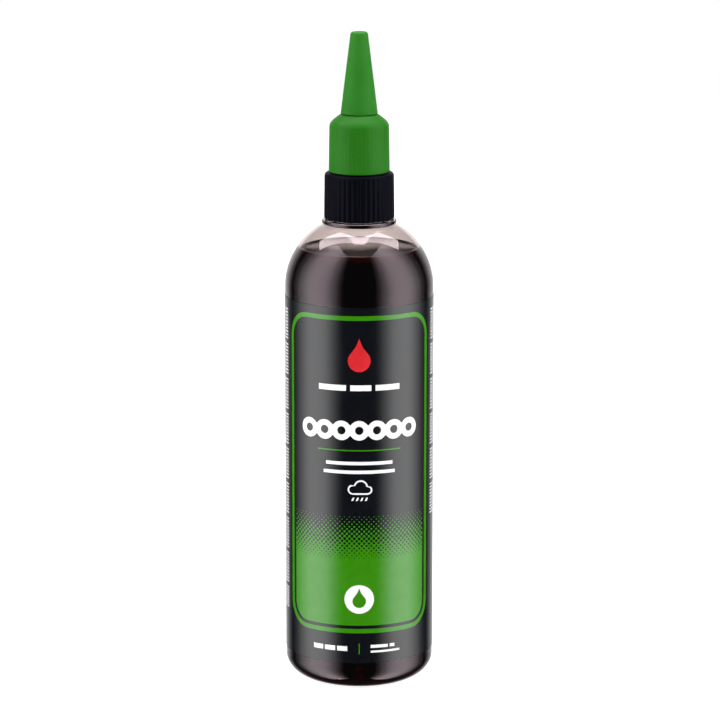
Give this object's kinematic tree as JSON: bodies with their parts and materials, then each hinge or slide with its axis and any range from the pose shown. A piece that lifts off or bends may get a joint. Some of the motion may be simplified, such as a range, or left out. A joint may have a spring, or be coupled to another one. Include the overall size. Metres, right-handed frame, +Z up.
{
  "type": "chain lube bottle",
  "caption": "Clear squeeze bottle of dark chain lube with a wrapped label, a threaded ribbed screw cap, a twist-open spout and a pull-off nozzle cover.",
  "frame": {"origin": "on the floor, at the centre of the bottle's standing ring", "axes": "+Z up along the bottle's axis, -Y towards the front of the label"},
  "size_m": [0.0574, 0.0575, 0.252],
  "materials": {
    "clear_bottle": "clear blown PET",
    "dark_oil": "dark red-brown liquid",
    "black_film": "glossy printed film",
    "green_ink": "glossy ink on film",
    "white_ink": "glossy ink on film",
    "red_ink": "glossy ink on film",
    "black_plastic": "satin moulded polypropylene",
    "liner_foam": "soft foamed washer",
    "green_plastic": "satin moulded polypropylene"
  },
  "bodies": {
    "bottle": {"bottle": "clear_bottle", "lube_oil": "dark_oil", "label_film": "black_film", "green_print": "green_ink", "white_print": "white_ink", "red_print": "red_ink"},
    "liner": {"cap_liner": "liner_foam"},
    "cap": {"screw_cap": "black_plastic"},
    "collar": {"twist_collar": "green_plastic"},
    "spout": {"nozzle": "green_plastic"},
    "cover": {"nozzle_cover": "green_plastic"}
  },
  "joints": [
    {"name": "cap_rise", "type": "slide", "parent": "bottle", "child": "liner", "axis": [0, 0, 1], "range_m": [0, 0.00635]},
    {"name": "cap_turn", "type": "hinge", "parent": "liner", "child": "cap", "pos_m": [0, 0, 0.19], "axis": [0, 0, 1], "range_deg": [0, 720]},
    {"name": "collar_twist", "type": "hinge", "parent": "cap", "child": "collar", "pos_m": [0, 0, 0.205], "axis": [0, 0, 1], "range_deg": [0, 100]},
    {"name": "nozzle_rise", "type": "slide", "parent": "cap", "child": "spout", "axis": [0, 0, 1], "range_m": [0, 0.003]},
    {"name": "cover_pull", "type": "slide", "parent": "spout", "child": "cover", "axis": [0, 0, 1], "range_m": [0, 0.03]}
  ],
  "couplings": [
    {"joint": "cap_rise", "follows": "cap_turn", "m_per_rad": 0.00050532},
    {"joint": "nozzle_rise", "follows": "collar_twist", "m_per_rad": 0.0017189}
  ]
}
